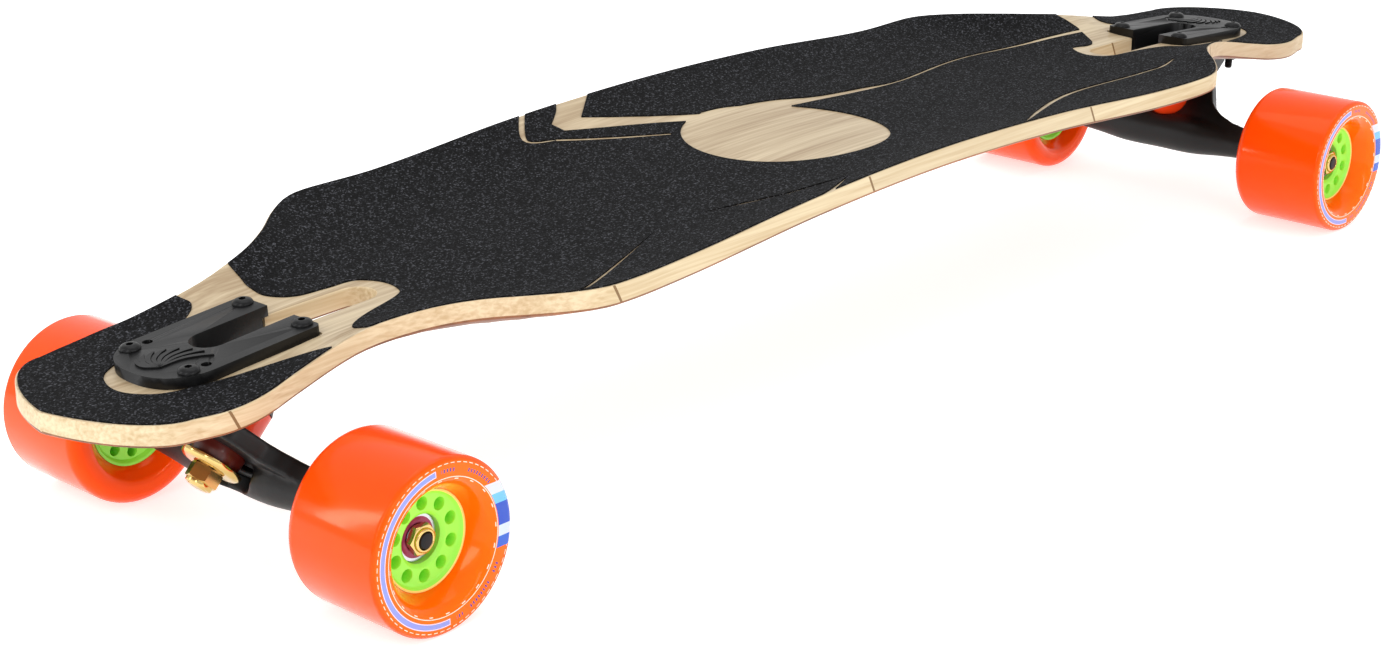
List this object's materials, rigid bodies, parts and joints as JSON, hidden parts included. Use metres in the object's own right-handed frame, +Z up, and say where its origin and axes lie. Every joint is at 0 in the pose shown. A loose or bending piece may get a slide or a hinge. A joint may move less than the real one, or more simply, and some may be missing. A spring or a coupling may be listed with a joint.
{
  "type": "longboard skateboard",
  "caption": "Drop-through longboard with a dished, cambered bamboo deck, reverse-kingpin trucks that steer as it leans, and wide free-rolling urethane wheels.",
  "frame": {"origin": "on the ground under the middle of the board, between the two axles", "axes": "+X along the board from its front end to its rear end, +Y across it to its left wheels, +Z up"},
  "size_m": [0.964, 0.2632, 0.1285],
  "materials": {
    "bamboo": "clear-lacquered bamboo",
    "cork_layer": "matt brown cork-like layer",
    "grip": "coarse black grit",
    "black_casting": "satin black powder coat",
    "black_steel": "black oxide",
    "zinc_gold": "yellow zinc plate",
    "orange_bushing": "satin orange urethane",
    "dark_bushing": "satin dark urethane",
    "pivot_rubber": "matt",
    "bearing_steel": "ground steel",
    "bearing_shield": "magenta shield",
    "urethane": "glossy orange urethane",
    "green_core": "semi-gloss lime green"
  },
  "bodies": {
    "board": {"deck_core": "bamboo", "deck_bottom_layer": "cork_layer", "grip_tape": "grip", "front_baseplate": "black_casting", "front_mounting_bolts": "black_steel", "front_mounting_nuts": "black_steel", "front_kingpin": "zinc_gold", "front_kingpin_nut": "zinc_gold", "front_cup_washer": "zinc_gold", "front_upper_bushing": "orange_bushing", "front_lower_bushing": "dark_bushing", "front_pivot_cup": "pivot_rubber", "rear_baseplate": "black_casting", "rear_mounting_bolts": "black_steel", "rear_mounting_nuts": "black_steel", "rear_kingpin": "zinc_gold", "rear_kingpin_nut": "zinc_gold", "rear_cup_washer": "zinc_gold", "rear_upper_bushing": "orange_bushing", "rear_lower_bushing": "dark_bushing", "rear_pivot_cup": "pivot_rubber"},
    "front_truck": {"front_hanger": "black_casting", "front_axle": "black_steel", "front_right_inner_races": "bearing_steel", "front_right_spacer": "bearing_steel", "front_right_speed_rings": "bearing_steel", "front_right_axle_nut": "zinc_gold", "front_left_inner_races": "bearing_steel", "front_left_spacer": "bearing_steel", "front_left_speed_rings": "bearing_steel", "front_left_axle_nut": "zinc_gold"},
    "front_right_wheel": {"front_right_tyre": "urethane", "front_right_core": "green_core", "front_right_outer_races": "bearing_shield", "front_right_balls": "bearing_steel"},
    "front_left_wheel": {"front_left_tyre": "urethane", "front_left_core": "green_core", "front_left_outer_races": "bearing_shield", "front_left_balls": "bearing_steel"},
    "rear_truck": {"rear_hanger": "black_casting", "rear_axle": "black_steel", "rear_right_inner_races": "bearing_steel", "rear_right_spacer": "bearing_steel", "rear_right_speed_rings": "bearing_steel", "rear_right_axle_nut": "zinc_gold", "rear_left_inner_races": "bearing_steel", "rear_left_spacer": "bearing_steel", "rear_left_speed_rings": "bearing_steel", "rear_left_axle_nut": "zinc_gold"},
    "rear_right_wheel": {"rear_right_tyre": "urethane", "rear_right_core": "green_core", "rear_right_outer_races": "bearing_shield", "rear_right_balls": "bearing_steel"},
    "rear_left_wheel": {"rear_left_tyre": "urethane", "rear_left_core": "green_core", "rear_left_outer_races": "bearing_shield", "rear_left_balls": "bearing_steel"}
  },
  "joints": [
    {"name": "front_steer", "type": "hinge", "parent": "board", "child": "front_truck", "pos_m": [-0.38563, 0, 0.05568], "axis": [-0.6972, 0, 0.7169], "range_deg": [-18, 18], "stiffness_Nm_per_rad": 40, "deforming": ["front_upper_bushing", "front_lower_bushing"]},
    {"name": "front_right_spin", "type": "hinge", "parent": "front_truck", "child": "front_right_wheel", "pos_m": [-0.3768, -0.10325, 0.04], "axis": [0, 1, 0], "continuous": true},
    {"name": "front_left_spin", "type": "hinge", "parent": "front_truck", "child": "front_left_wheel", "pos_m": [-0.3768, 0.10325, 0.04], "axis": [0, 1, 0], "continuous": true},
    {"name": "rear_steer", "type": "hinge", "parent": "board", "child": "rear_truck", "pos_m": [0.38563, 0, 0.05568], "axis": [0.6972, 0, 0.7169], "range_deg": [-18, 18], "stiffness_Nm_per_rad": 40, "deforming": ["rear_upper_bushing", "rear_lower_bushing"]},
    {"name": "rear_right_spin", "type": "hinge", "parent": "rear_truck", "child": "rear_right_wheel", "pos_m": [0.3768, -0.10325, 0.04], "axis": [0, 1, 0], "continuous": true},
    {"name": "rear_left_spin", "type": "hinge", "parent": "rear_truck", "child": "rear_left_wheel", "pos_m": [0.3768, 0.10325, 0.04], "axis": [0, 1, 0], "continuous": true}
  ]
}
